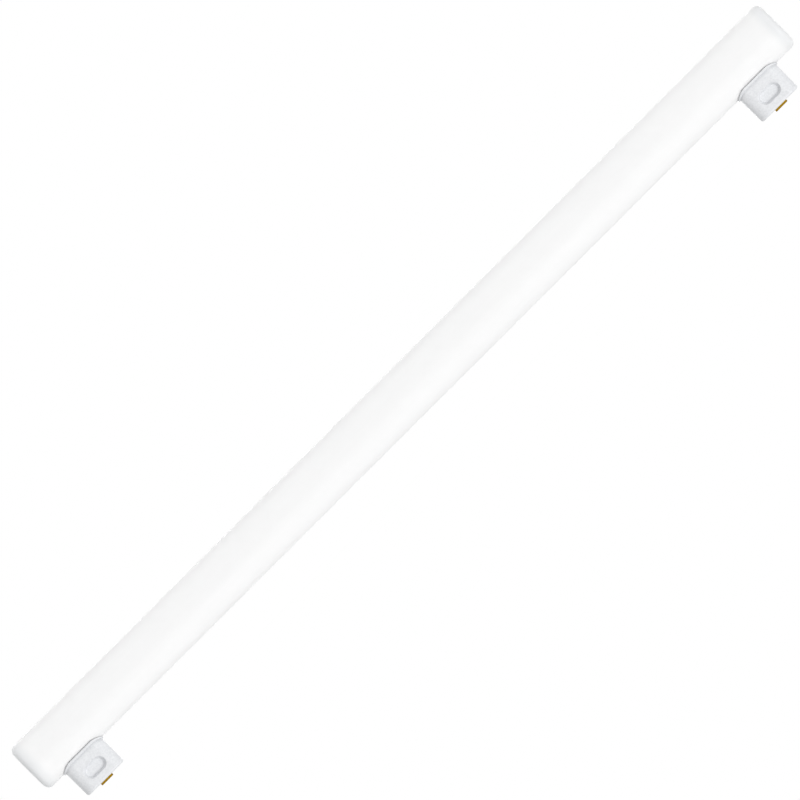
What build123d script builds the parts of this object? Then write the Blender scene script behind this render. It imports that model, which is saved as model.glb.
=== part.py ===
from build123d import *
import math
import os

# Strip lamp: an opal tube along X with two caps that stand off its underside.
# Millimetres, +Z up. The origin lies under the middle of the tube, level with the contact faces.

# Opal tube
tube_length = 500.0
tube_diameter = 26.5
tube_end_radius = 3.2  # rounding between the wall and each flat end

# Place of each cap: from the tube's end to the middle of the cap
left_overhang = 23.3
right_overhang = 26.0

# Cap body, measured at its end face
cap_length = 23.6
cap_width = 15.2
cap_corner_radius = 5.4
cap_reach = 15.4  # from the underside of the tube to the end face
cap_draft = 0.5  # degrees, widens the body towards the tube
cap_end_edge_radius = 1.2
cap_wall = 1.5
cap_end_wall = 2.0
least_corner_radius = 0.5  # of any outline drawn inside the body's own

# Saddle flange round the mouth of the cap
flange_overhang = 0.9  # past the body, all round
flange_thickness = 0.4  # on its lowest line, under the middle of the tube
flange_relief = 5.5  # added to its seat's radius for its underside, so it thickens towards the sides
flange_lip_radius = 0.25  # edge beside the glass
flange_rim_radius = 0.15  # edge away from the glass
flange_root_radius = 0.25  # hollow corner between flange and body
seat_gap = 0.3  # cement line between flange and glass, on the lowest line
seat_relief = 1.0  # added to the seat's radius, so the cement line widens towards the sides

# Latch recess in each long face of the cap
recess_length = 12.3
recess_height = 6.9
recess_depth = 2.3
recess_slope = 1.1  # width of the sloping wall, seen square on
recess_from_end = 7.5  # from the end face to the middle of the recess
recess_floor_radius = 0.5
recess_rim_radius = 0.2

# Cement ring in the mouth of the cap
adhesive_depth = 2.4
adhesive_width = 2.0

# Contact rivet
contact_length = 7.4
contact_width = 5.2
contact_corner_radius = 1.2
contact_proud = 1.1
contact_edge_radius = 0.35
shank_diameter = 3.0
shank_clearance = 0.05
peen_overhang = 0.8
peen_height = 0.7

# Lead wire
wire_diameter = 0.7
wire_clearance = 0.05
wire_socket_depth = 1.8

# Levels and radii that follow from the sizes above
tube_radius = tube_diameter / 2
end_face = contact_proud
cavity_floor = end_face + cap_end_wall
peen_top = cavity_floor + peen_height
wire_foot = peen_top - wire_socket_depth
axis_height = end_face + cap_reach + tube_radius
seat_radius = tube_radius + seat_gap + seat_relief
seat_axis = axis_height + seat_relief
underside_radius = seat_radius + flange_relief
underside_axis = seat_axis + flange_relief - flange_thickness
recess_middle = end_face + recess_from_end

# Share of a wall that one rounded edge may take up
edge_share = 0.45


def lying_cylinder(radius, height=axis_height):
    return Pos(0, 0, height) * Rot(0, 90, 0) * Cylinder(radius, tube_length)


def upright_rod(diameter, bottom, top):
    base = (Align.CENTER, Align.CENTER, Align.MIN)
    return Pos(0, 0, bottom) * Cylinder(diameter / 2, top - bottom, align=base)


def rounded_outline(length, width, corner_radius):
    radius = max(corner_radius, least_corner_radius)
    return RectangleRounded(length, width, min(radius, edge_share * min(length, width)))


def block(bottom, growth=0.0):
    # The body's outline grown all round, raised with its draft from bottom to the tube's axis
    growth += (bottom - end_face) * math.tan(math.radians(cap_draft))
    length = cap_length + 2 * growth
    width = cap_width + 2 * growth
    outline = rounded_outline(length, width, cap_corner_radius + growth)
    return extrude(Pos(0, 0, bottom) * outline, axis_height - bottom, taper=-cap_draft)


def edges_round_cylinder(edges, radius, height):
    def distance(edge):
        middle = edge @ 0.5
        return math.hypot(middle.Y, middle.Z - height)

    return edges.filter_by(lambda edge: abs(distance(edge) - radius) < flange_thickness / 10)


def side_plane(side, inset):
    # Plane that faces outwards from one long face of the cap, centred on the latch recess
    place = (0, side * (cap_width / 2 - inset), recess_middle)
    return Plane(origin=place, x_dir=(1, 0, 0), z_dir=(0, side, 0))


def make_opal_tube():
    tube = lying_cylinder(tube_radius)
    return fillet(tube.edges().filter_by(GeomType.CIRCLE), tube_end_radius)


def make_recess(side):
    # Obround pocket with sloping walls, carried on past the face by its own depth
    floor = SlotOverall(recess_length - 2 * recess_slope, recess_height - 2 * recess_slope)
    mouth = SlotOverall(recess_length + 2 * recess_slope, recess_height + 2 * recess_slope)
    floor_face = side_plane(side, recess_depth) * floor
    pocket = loft([floor_face, side_plane(side, -recess_depth) * mouth])
    floor_edges = pocket.faces().sort_by_distance(floor_face.face().center())[0].edges()
    return fillet(floor_edges, min(recess_floor_radius, edge_share * recess_depth))


def make_cavity():
    # Hollow of the cap, with the wall kept whole behind each recess
    cavity = block(cavity_floor, -cap_wall)
    for side in (-1, 1):
        backing = side_plane(side, recess_depth + cap_wall) * SlotOverall(recess_length, recess_height)
        cavity -= extrude(backing, recess_depth + cap_wall)
    return cavity


def make_cap(cavity):
    body = block(end_face)
    body = fillet(body.faces().sort_by(Axis.Z)[0].edges(), cap_end_edge_radius)
    flange = block(end_face, flange_overhang)
    flange &= lying_cylinder(underside_radius, underside_axis)
    rim = edges_round_cylinder(flange.edges(), underside_radius, underside_axis)
    flange = fillet(rim, min(flange_rim_radius, edge_share * flange_thickness))
    cap = body + flange
    root = edges_round_cylinder(new_edges(body, flange, combined=cap), underside_radius, underside_axis)
    cap = fillet(root, min(flange_root_radius, edge_share * flange_overhang))
    cap -= lying_cylinder(seat_radius, seat_axis)
    lip = edges_round_cylinder(cap.edges(), seat_radius, seat_axis)
    cap = fillet(lip, min(flange_lip_radius, edge_share * flange_thickness))
    for side in (-1, 1):
        recess = make_recess(side)
        cut = cap - recess
        rim = new_edges(cap, recess, combined=cut)
        cap = fillet(rim, min(recess_rim_radius, edge_share * recess_depth))
    shank_hole = upright_rod(shank_diameter + 2 * shank_clearance, 0, cavity_floor)
    return cap - cavity - shank_hole


def make_contact():
    head = extrude(rounded_outline(contact_length, contact_width, contact_corner_radius), contact_proud)
    head_edges = head.faces().sort_by(Axis.Z)[0].edges()
    head = fillet(head_edges, min(contact_edge_radius, edge_share * contact_proud))
    shank = upright_rod(shank_diameter, end_face, cavity_floor)
    peen = upright_rod(shank_diameter + 2 * peen_overhang, cavity_floor, peen_top)
    socket = upright_rod(wire_diameter + 2 * wire_clearance, wire_foot, peen_top)
    return head + shank + peen - socket


def make_lead_wire():
    return upright_rod(wire_diameter, wire_foot, axis_height) - lying_cylinder(tube_radius)


def make_adhesive(cavity):
    # Thin line under the flange and a thicker ring just inside the mouth, open in the middle
    tube = lying_cylinder(tube_radius)
    line = block(end_face) & lying_cylinder(seat_radius, seat_axis)
    ring = cavity & lying_cylinder(tube_radius + adhesive_depth)
    opening = block(cavity_floor, -cap_wall - adhesive_width)
    return line + ring - tube - opening


os.makedirs("parts", exist_ok=True)

export_step(make_opal_tube(), "parts/opal_tube.step")

cap_cavity = make_cavity()
end_pieces = {
    "cap": make_cap(cap_cavity),
    "contact": make_contact(),
    "lead_wire": make_lead_wire(),
    "adhesive": make_adhesive(cap_cavity),
}
cap_places = {
    "left": left_overhang - tube_length / 2,
    "right": tube_length / 2 - right_overhang,
}
for end, place in cap_places.items():
    for name, piece in end_pieces.items():
        export_step(Pos(place, 0, 0) * piece, f"parts/{end}_{name}.step")
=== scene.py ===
import math

import bmesh
import bpy
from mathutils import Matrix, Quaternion, Vector


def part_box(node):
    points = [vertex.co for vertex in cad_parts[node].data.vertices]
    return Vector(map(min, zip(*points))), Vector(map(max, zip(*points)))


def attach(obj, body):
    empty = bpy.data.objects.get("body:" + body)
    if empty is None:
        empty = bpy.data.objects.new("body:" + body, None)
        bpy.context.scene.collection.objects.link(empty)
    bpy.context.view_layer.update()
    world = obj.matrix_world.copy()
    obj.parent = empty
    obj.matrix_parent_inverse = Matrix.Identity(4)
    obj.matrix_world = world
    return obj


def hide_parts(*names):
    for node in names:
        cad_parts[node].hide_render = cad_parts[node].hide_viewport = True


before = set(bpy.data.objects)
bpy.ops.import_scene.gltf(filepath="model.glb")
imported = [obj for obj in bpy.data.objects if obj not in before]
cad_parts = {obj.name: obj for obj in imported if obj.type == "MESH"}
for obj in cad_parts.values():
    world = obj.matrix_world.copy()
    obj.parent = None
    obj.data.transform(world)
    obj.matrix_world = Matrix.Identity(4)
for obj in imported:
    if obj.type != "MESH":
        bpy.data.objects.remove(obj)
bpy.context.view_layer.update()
print("frame loaded with", len(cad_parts), "nodes")

mm = 0.001  # metres


def linear(hexColour):  # sRGB hex to the linear values that sockets take
    channels = [int(hexColour[i:i + 2], 16) / 255 for i in (1, 3, 5)]
    return [c / 12.92 if c <= 0.04045 else ((c + 0.055) / 1.055) ** 2.4 for c in channels] + [1.0]


def addNode(tree, kind, settings=None, values=None, links=None):
    node = tree.nodes.new(kind)
    for name, value in (settings or {}).items():
        setattr(node, name, value)
    for name, value in (values or {}).items():
        node.inputs[name].default_value = value
    for name, source in (links or {}).items():
        tree.links.new(source, node.inputs[name])
    return node


def newMaterial(name):
    material = bpy.data.materials.new(name)
    material.use_nodes = True
    tree = material.node_tree
    tree.nodes.clear()
    shader = addNode(tree, "ShaderNodeBsdfPrincipled")
    addNode(tree, "ShaderNodeOutputMaterial", links={"Surface": shader.outputs["BSDF"]})
    place = addNode(tree, "ShaderNodeTexCoord").outputs["Object"]
    return material, tree, shader, place


# opal glass tube, drawn and then closed at the ends: milky white through and through, with a
# soft satin skin, and so faint a streak along its length that it only shows close by; the glass
# is painted a little greyer towards each end, as shade
opal = {
    "white": "#FCFCFC",
    "streak": "#F8F9F9",
    # painted shade: the grey that the glass is given towards each end
    "end": "#E6E7E8",
    "endReach": (9 * mm, 1 * mm),  # from the tube's end, where the grey begins and where it is full
    "streakWidth": 2.5 * mm,
    "streakLength": 60 * mm,
    "skinGrain": 1.5 * mm,  # well under 0.1 mm on the real one, drawn coarser so that it shows
    "skinDepth": 0.012 * mm,
    "roughness": (0.42, 0.5),
    "ior": 1.5,
    "gloss": 0.15,  # far less than clear glass has, at 0.5
    "scatter": 1.0,
    "scatterDepth": 2 * mm,
}


def opalGlass(halfLength):
    material, tree, shader, place = newMaterial("opal_glass")
    stretch = addNode(tree, "ShaderNodeMapping",
                      values={"Scale": (opal["streakWidth"] / opal["streakLength"], 1, 1)},
                      links={"Vector": place})
    streaks = addNode(tree, "ShaderNodeTexNoise",
                      values={"Scale": 1 / opal["streakWidth"], "Detail": 3.0, "Roughness": 0.55},
                      links={"Vector": stretch.outputs["Vector"]})
    colour = addNode(tree, "ShaderNodeMix", settings={"data_type": "RGBA"},
                     values={6: linear(opal["white"]), 7: linear(opal["streak"])},
                     links={0: streaks.outputs["Fac"]})
    begin, full = opal["endReach"]
    along = addNode(tree, "ShaderNodeSeparateXYZ", links={"Vector": place})
    fromMiddle = addNode(tree, "ShaderNodeMath", settings={"operation": "ABSOLUTE"},
                         links={0: along.outputs["X"]})
    nearEnd = addNode(tree, "ShaderNodeMapRange", settings={"interpolation_type": "SMOOTHSTEP"},
                      values={"From Min": halfLength - begin, "From Max": halfLength - full},
                      links={"Value": fromMiddle.outputs["Value"]})
    # painted shade: greys the glass towards each end
    glass = addNode(tree, "ShaderNodeMix", settings={"data_type": "RGBA"},
                    values={7: linear(opal["end"])},
                    links={0: nearEnd.outputs["Result"], 6: colour.outputs[2]})
    low, high = opal["roughness"]
    satin = addNode(tree, "ShaderNodeMapRange", values={"To Min": low, "To Max": high},
                    links={"Value": streaks.outputs["Fac"]})
    grain = addNode(tree, "ShaderNodeTexNoise",
                    values={"Scale": 1 / opal["skinGrain"], "Detail": 2.0},
                    links={"Vector": place})
    bump = addNode(tree, "ShaderNodeBump", values={"Distance": opal["skinDepth"], "Strength": 1.0},
                   links={"Height": grain.outputs["Fac"]})
    tree.links.new(glass.outputs[2], shader.inputs["Base Color"])
    tree.links.new(satin.outputs["Result"], shader.inputs["Roughness"])
    tree.links.new(bump.outputs["Normal"], shader.inputs["Normal"])
    shader.inputs["IOR"].default_value = opal["ior"]
    shader.inputs["Specular IOR Level"].default_value = opal["gloss"]
    shader.inputs["Subsurface Weight"].default_value = opal["scatter"]
    shader.inputs["Subsurface Radius"].default_value = (1.0, 1.0, 1.0)
    shader.inputs["Subsurface Scale"].default_value = opal["scatterDepth"]
    return material


# tube: one lathe profile, flat end, rounded corner, long wall, turned about the lamp's long axis
tube = {
    "endRadius": 3.2 * mm,  # as the frame's own solid
    "endSteps": 14,
    "sides": 160,
    "wallRings": 25,
    "supportRing": 0.3 * mm,  # beside each rounded corner, keeps the flats shaded flat
    "tolerance": 0.01 * mm,  # points closer than this are taken as one
}


def makeTube():
    low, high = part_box("opal_tube")
    radius = (high.z - low.z) / 2
    axis = (low.z + high.z) / 2
    mesh = bmesh.new()
    corners = [(low.x, 0), (low.x, radius), (high.x, radius), (high.x, 0)]
    points = [mesh.verts.new((x, 0, axis + r)) for x, r in corners]
    profile = [mesh.edges.new(pair) for pair in zip(points, points[1:])]
    bmesh.ops.spin(mesh, geom=points + profile, cent=(0, 0, axis), axis=(1, 0, 0),
                   angle=math.tau, steps=tube["sides"], use_merge=True, use_duplicate=False)
    bmesh.ops.remove_doubles(mesh, verts=mesh.verts, dist=tube["tolerance"])
    rims = [e for e in mesh.edges
            if abs(e.verts[0].co.x - e.verts[1].co.x) < tube["tolerance"]
            and min(math.hypot(v.co.y, v.co.z - axis) for v in e.verts) > radius / 2]
    bmesh.ops.bevel(mesh, geom=rims, offset=tube["endRadius"], offset_type="OFFSET", affect="EDGES",
                    segments=tube["endSteps"], profile=0.5, material=-1)
    first = low.x + tube["endRadius"] + tube["supportRing"]
    last = high.x - tube["endRadius"] - tube["supportRing"]
    for step in range(tube["wallRings"]):
        cut = first + (last - first) * step / (tube["wallRings"] - 1)
        bmesh.ops.bisect_plane(mesh, geom=mesh.verts[:] + mesh.edges[:] + mesh.faces[:],
                               plane_co=(cut, 0, 0), plane_no=(1, 0, 0))
    bmesh.ops.recalc_face_normals(mesh, faces=mesh.faces)
    for face in mesh.faces:
        face.smooth = True
    data = bpy.data.meshes.new("opalTube")
    mesh.to_mesh(data)
    mesh.free()
    piece = bpy.data.objects.new("opalTube", data)
    bpy.context.scene.collection.objects.link(piece)
    piece.data.materials.append(opalGlass(high.x))
    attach(piece, "root")
    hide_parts("opal_tube")
    print("tube made with", len(data.polygons), "faces")


# white polyester, injection moulded: a faintly cool white, a little speckled by its filler, with the
# matt grain of the mould, and a thin line of painted shade in the hollow corner under the flange
moulded = {
    "white": "#F4F5F7",
    "shade": "#D0D2D5",
    # painted shade: the colour laid into the hollow corner under the flange
    "cornerShade": "#6C6F75",
    "cornerShadeReach": 1.6 * mm,  # out of the corner, to where the painted shade has faded
    "cornerShadeFrom": 14 * mm,  # height over the contacts, between the latch recesses and the flange
    "grain": 0.9 * mm,  # about 0.15 mm on the real one, drawn coarser so that it shows
    "grainDepth": 0.02 * mm,
    "roughness": (0.36, 0.46),
    "ior": 1.5,
}


def mouldedPolyester():
    material, tree, shader, place = newMaterial("moulded_polyester")
    grain = addNode(tree, "ShaderNodeTexNoise",
                    values={"Scale": 1 / moulded["grain"], "Detail": 3.0, "Roughness": 0.6},
                    links={"Vector": place})
    colour = addNode(tree, "ShaderNodeMix", settings={"data_type": "RGBA"},
                     values={6: linear(moulded["white"]), 7: linear(moulded["shade"])},
                     links={0: grain.outputs["Fac"]})
    # painted shade: ambient occlusion darkens the hollow corner under the flange, above the set
    # height
    openness = addNode(tree, "ShaderNodeAmbientOcclusion", settings={"only_local": True},
                       values={"Distance": moulded["cornerShadeReach"]})
    height = addNode(tree, "ShaderNodeSeparateXYZ", links={"Vector": place})
    belowShadeBand = addNode(tree, "ShaderNodeMath", settings={"operation": "LESS_THAN"},
                    values={1: moulded["cornerShadeFrom"]}, links={0: height.outputs["Z"]})
    unshaded = addNode(tree, "ShaderNodeMath", settings={"operation": "MAXIMUM"},
                    links={0: openness.outputs["AO"], 1: belowShadeBand.outputs["Value"]})
    cornerShaded = addNode(tree, "ShaderNodeMix", settings={"data_type": "RGBA"},
                    values={6: linear(moulded["cornerShade"])},
                    links={0: unshaded.outputs["Value"], 7: colour.outputs[2]})
    low, high = moulded["roughness"]
    satin = addNode(tree, "ShaderNodeMapRange", values={"To Min": low, "To Max": high},
                    links={"Value": grain.outputs["Fac"]})
    bump = addNode(tree, "ShaderNodeBump",
                   values={"Distance": moulded["grainDepth"], "Strength": 1.0},
                   links={"Height": grain.outputs["Fac"]})
    tree.links.new(cornerShaded.outputs[2], shader.inputs["Base Color"])
    tree.links.new(satin.outputs["Result"], shader.inputs["Roughness"])
    tree.links.new(bump.outputs["Normal"], shader.inputs["Normal"])
    shader.inputs["IOR"].default_value = moulded["ior"]
    return material


# brass, stamped from rolled strip: warm yellow, with fine rolling lines and a little tarnish
brass = {
    "bright": "#B08A1C",
    "tarnish": "#8B6C10",
    "tarnishPatch": 1.6 * mm,
    "rollingLine": 0.4 * mm,  # about 0.05 mm on the real one, drawn coarser so that it shows
    "lineLength": 4 * mm,
    "lineDepth": 0.02 * mm,
    "roughness": (0.26, 0.42),
}


def stampedBrass():
    material, tree, shader, place = newMaterial("stamped_brass")
    patches = addNode(tree, "ShaderNodeTexNoise",
                      values={"Scale": 1 / brass["tarnishPatch"], "Detail": 4.0},
                      links={"Vector": place})
    colour = addNode(tree, "ShaderNodeMix", settings={"data_type": "RGBA"},
                     values={6: linear(brass["bright"]), 7: linear(brass["tarnish"])},
                     links={0: patches.outputs["Fac"]})
    stretch = addNode(tree, "ShaderNodeMapping",
                      values={"Scale": (brass["rollingLine"] / brass["lineLength"], 1, 1)},
                      links={"Vector": place})
    lines = addNode(tree, "ShaderNodeTexNoise",
                    values={"Scale": 1 / brass["rollingLine"], "Detail": 2.0},
                    links={"Vector": stretch.outputs["Vector"]})
    low, high = brass["roughness"]
    satin = addNode(tree, "ShaderNodeMapRange", values={"To Min": low, "To Max": high},
                    links={"Value": patches.outputs["Fac"]})
    bump = addNode(tree, "ShaderNodeBump", values={"Distance": brass["lineDepth"], "Strength": 1.0},
                   links={"Height": lines.outputs["Fac"]})
    tree.links.new(colour.outputs[2], shader.inputs["Base Color"])
    tree.links.new(satin.outputs["Result"], shader.inputs["Roughness"])
    tree.links.new(bump.outputs["Normal"], shader.inputs["Normal"])
    shader.inputs["Metallic"].default_value = 1.0
    return material


# tinned copper lead: grey and soft, drawn, so its lines run along it
tinned = {
    "bright": "#B9BABB",
    "dull": "#97989A",
    "drawLine": 0.05 * mm,  # as fine as the real one, since the wire is hidden in the cap
    "lineLength": 4 * mm,
    "roughness": 0.35,
}


def tinnedWire():
    material, tree, shader, place = newMaterial("tinned_wire")
    stretch = addNode(tree, "ShaderNodeMapping",
                      values={"Scale": (1, 1, tinned["drawLine"] / tinned["lineLength"])},
                      links={"Vector": place})
    lines = addNode(tree, "ShaderNodeTexNoise", values={"Scale": 1 / tinned["drawLine"]},
                    links={"Vector": stretch.outputs["Vector"]})
    colour = addNode(tree, "ShaderNodeMix", settings={"data_type": "RGBA"},
                     values={6: linear(tinned["bright"]), 7: linear(tinned["dull"])},
                     links={0: lines.outputs["Fac"]})
    tree.links.new(colour.outputs[2], shader.inputs["Base Color"])
    shader.inputs["Metallic"].default_value = 1.0
    shader.inputs["Roughness"].default_value = tinned["roughness"]
    return material


# capping cement, mixed wet and set hard: pale grey, matt and grainy like fine plaster
cement = {
    "pale": "#B0AFAC",
    "dark": "#9C9B98",
    "grain": 0.3 * mm,  # as wide as the line that shows between cap and glass
    "grainDepth": 0.05 * mm,
    "roughness": 0.85,
}


def hardCement():
    material, tree, shader, place = newMaterial("hard_cement")
    grain = addNode(tree, "ShaderNodeTexNoise",
                    values={"Scale": 1 / cement["grain"], "Detail": 5.0},
                    links={"Vector": place})
    colour = addNode(tree, "ShaderNodeMix", settings={"data_type": "RGBA"},
                     values={6: linear(cement["pale"]), 7: linear(cement["dark"])},
                     links={0: grain.outputs["Fac"]})
    bump = addNode(tree, "ShaderNodeBump", values={"Distance": cement["grainDepth"], "Strength": 1.0},
                   links={"Height": grain.outputs["Fac"]})
    tree.links.new(colour.outputs[2], shader.inputs["Base Color"])
    tree.links.new(bump.outputs["Normal"], shader.inputs["Normal"])
    shader.inputs["Roughness"].default_value = cement["roughness"]
    return material


makeTube()

finishes = {
    "cap": mouldedPolyester(),
    "contact": stampedBrass(),
    "lead_wire": tinnedWire(),
    "adhesive": hardCement(),
}
for end in ("left", "right"):
    for name, material in finishes.items():
        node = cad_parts[end + "_" + name]
        node.data.materials.clear()
        node.data.materials.append(material)
print("caps, contacts, wires and cement finished")


# white floor and surround: they look white to the eye, and the floor keeps the lamp's shadow
studio = {
    "floorSize": 5.0,  # metres
    "white": "#FFFFFF",
    "floorColour": "#E6E6E6",
    "floorGlow": 0.3,  # white to the camera and in reflections, over the floor's own shade
    "surround": 0.63,  # light from all round
}


def seenDirectly(tree):
    path = addNode(tree, "ShaderNodeLightPath")
    seen = path.outputs["Is Camera Ray"]
    for ray in ("Is Glossy Ray", "Is Transmission Ray"):
        seen = addNode(tree, "ShaderNodeMath", settings={"operation": "MAXIMUM"},
                       links={0: seen, 1: path.outputs[ray]}).outputs["Value"]
    return seen


def makeStudio():
    bpy.ops.mesh.primitive_plane_add(size=studio["floorSize"], location=(0, 0, 0))
    floor = bpy.context.object
    floor.name = "studioFloor"
    material = bpy.data.materials.new("studio_white")
    material.use_nodes = True
    tree = material.node_tree
    tree.nodes.clear()
    matt = addNode(tree, "ShaderNodeBsdfDiffuse", values={"Color": linear(studio["floorColour"])})
    glowLevel = addNode(tree, "ShaderNodeMath", settings={"operation": "MULTIPLY"},
                        values={1: studio["floorGlow"]}, links={0: seenDirectly(tree)})
    glow = addNode(tree, "ShaderNodeEmission", links={"Strength": glowLevel.outputs["Value"]})
    both = addNode(tree, "ShaderNodeAddShader",
                   links={0: matt.outputs["BSDF"], 1: glow.outputs["Emission"]})
    addNode(tree, "ShaderNodeOutputMaterial", links={"Surface": both.outputs["Shader"]})
    floor.data.materials.append(material)
    # the floor keeps the lamp's shadow, but lets the key and the surround through from below
    floor.visible_shadow = False
    floor.visible_diffuse = False

    world = bpy.data.worlds.new("studioSurround")
    world.use_nodes = True
    bpy.context.scene.world = world
    tree = world.node_tree
    tree.nodes.clear()
    level = addNode(tree, "ShaderNodeMapRange",
                    values={"To Min": studio["surround"], "To Max": 1.0},
                    links={"Value": seenDirectly(tree)})
    white = addNode(tree, "ShaderNodeBackground", values={"Color": linear(studio["white"])},
                    links={"Strength": level.outputs["Result"]})
    addNode(tree, "ShaderNodeOutputWorld", links={"Surface": white.outputs["Background"]})


# soft lights, all far off, so that the lamp is lit evenly along its length: the key comes from the
# right front and below, through the floor as through a glass table, the others fill in above and
# behind; metres and watts
lights = {
    "keySoftbox": {"place": (7.2, -16.0, -8.8), "size": 8.0, "power": 1920.0},
    "topSoftbox": {"place": (0, 0, 10.0), "size": 4.0, "power": 320.0},
    "backSoftbox": {"place": (0, 10.0, 0.5), "size": 4.0, "power": 250.0},
}


def makeLights():
    for name, lamp in lights.items():
        data = bpy.data.lights.new(name, "AREA")
        data.size = lamp["size"]
        data.energy = lamp["power"]
        light = bpy.data.objects.new(name, data)
        bpy.context.scene.collection.objects.link(light)
        light.location = lamp["place"]
        light.rotation_euler = (-light.location).to_track_quat("-Z", "Y").to_euler()
        light.visible_camera = False


# camera: square on to the lamp's side, turned so that the tube climbs to the right
view = {
    "imageSize": 800,
    "pixelsPerMm": 2.1145,
    "aim": (-1.98 * mm, 0, 29.54 * mm),  # point of the lamp at the middle of the picture
    "height": 0.5 * mm,  # just over the floor, which is then seen edge on
    "turn": 44.98,  # degrees
    "lens": 1500.0,  # millimetres, long, so that both edges of the tube stay parallel
    "clipEnd": 100.0,  # metres, well past the floor
}


def makeCamera():
    data = bpy.data.cameras.new("photoCamera")
    data.lens = view["lens"]
    camera = bpy.data.objects.new("photoCamera", data)
    bpy.context.scene.collection.objects.link(camera)
    across = view["imageSize"] / view["pixelsPerMm"] * mm
    distance = view["lens"] * across / data.sensor_width
    aim = Vector(view["aim"])
    camera.location = (aim.x, -distance, view["height"])
    look = (aim - camera.location).to_track_quat("-Z", "Y")
    roll = Quaternion((0, 0, 1), math.radians(-view["turn"]))
    camera.rotation_mode = "QUATERNION"
    camera.rotation_quaternion = look @ roll
    data.clip_end = view["clipEnd"]
    bpy.context.scene.camera = camera


makeStudio()
makeLights()
makeCamera()
bpy.context.scene.view_settings.view_transform = "Standard"
print("studio, lights and camera set")
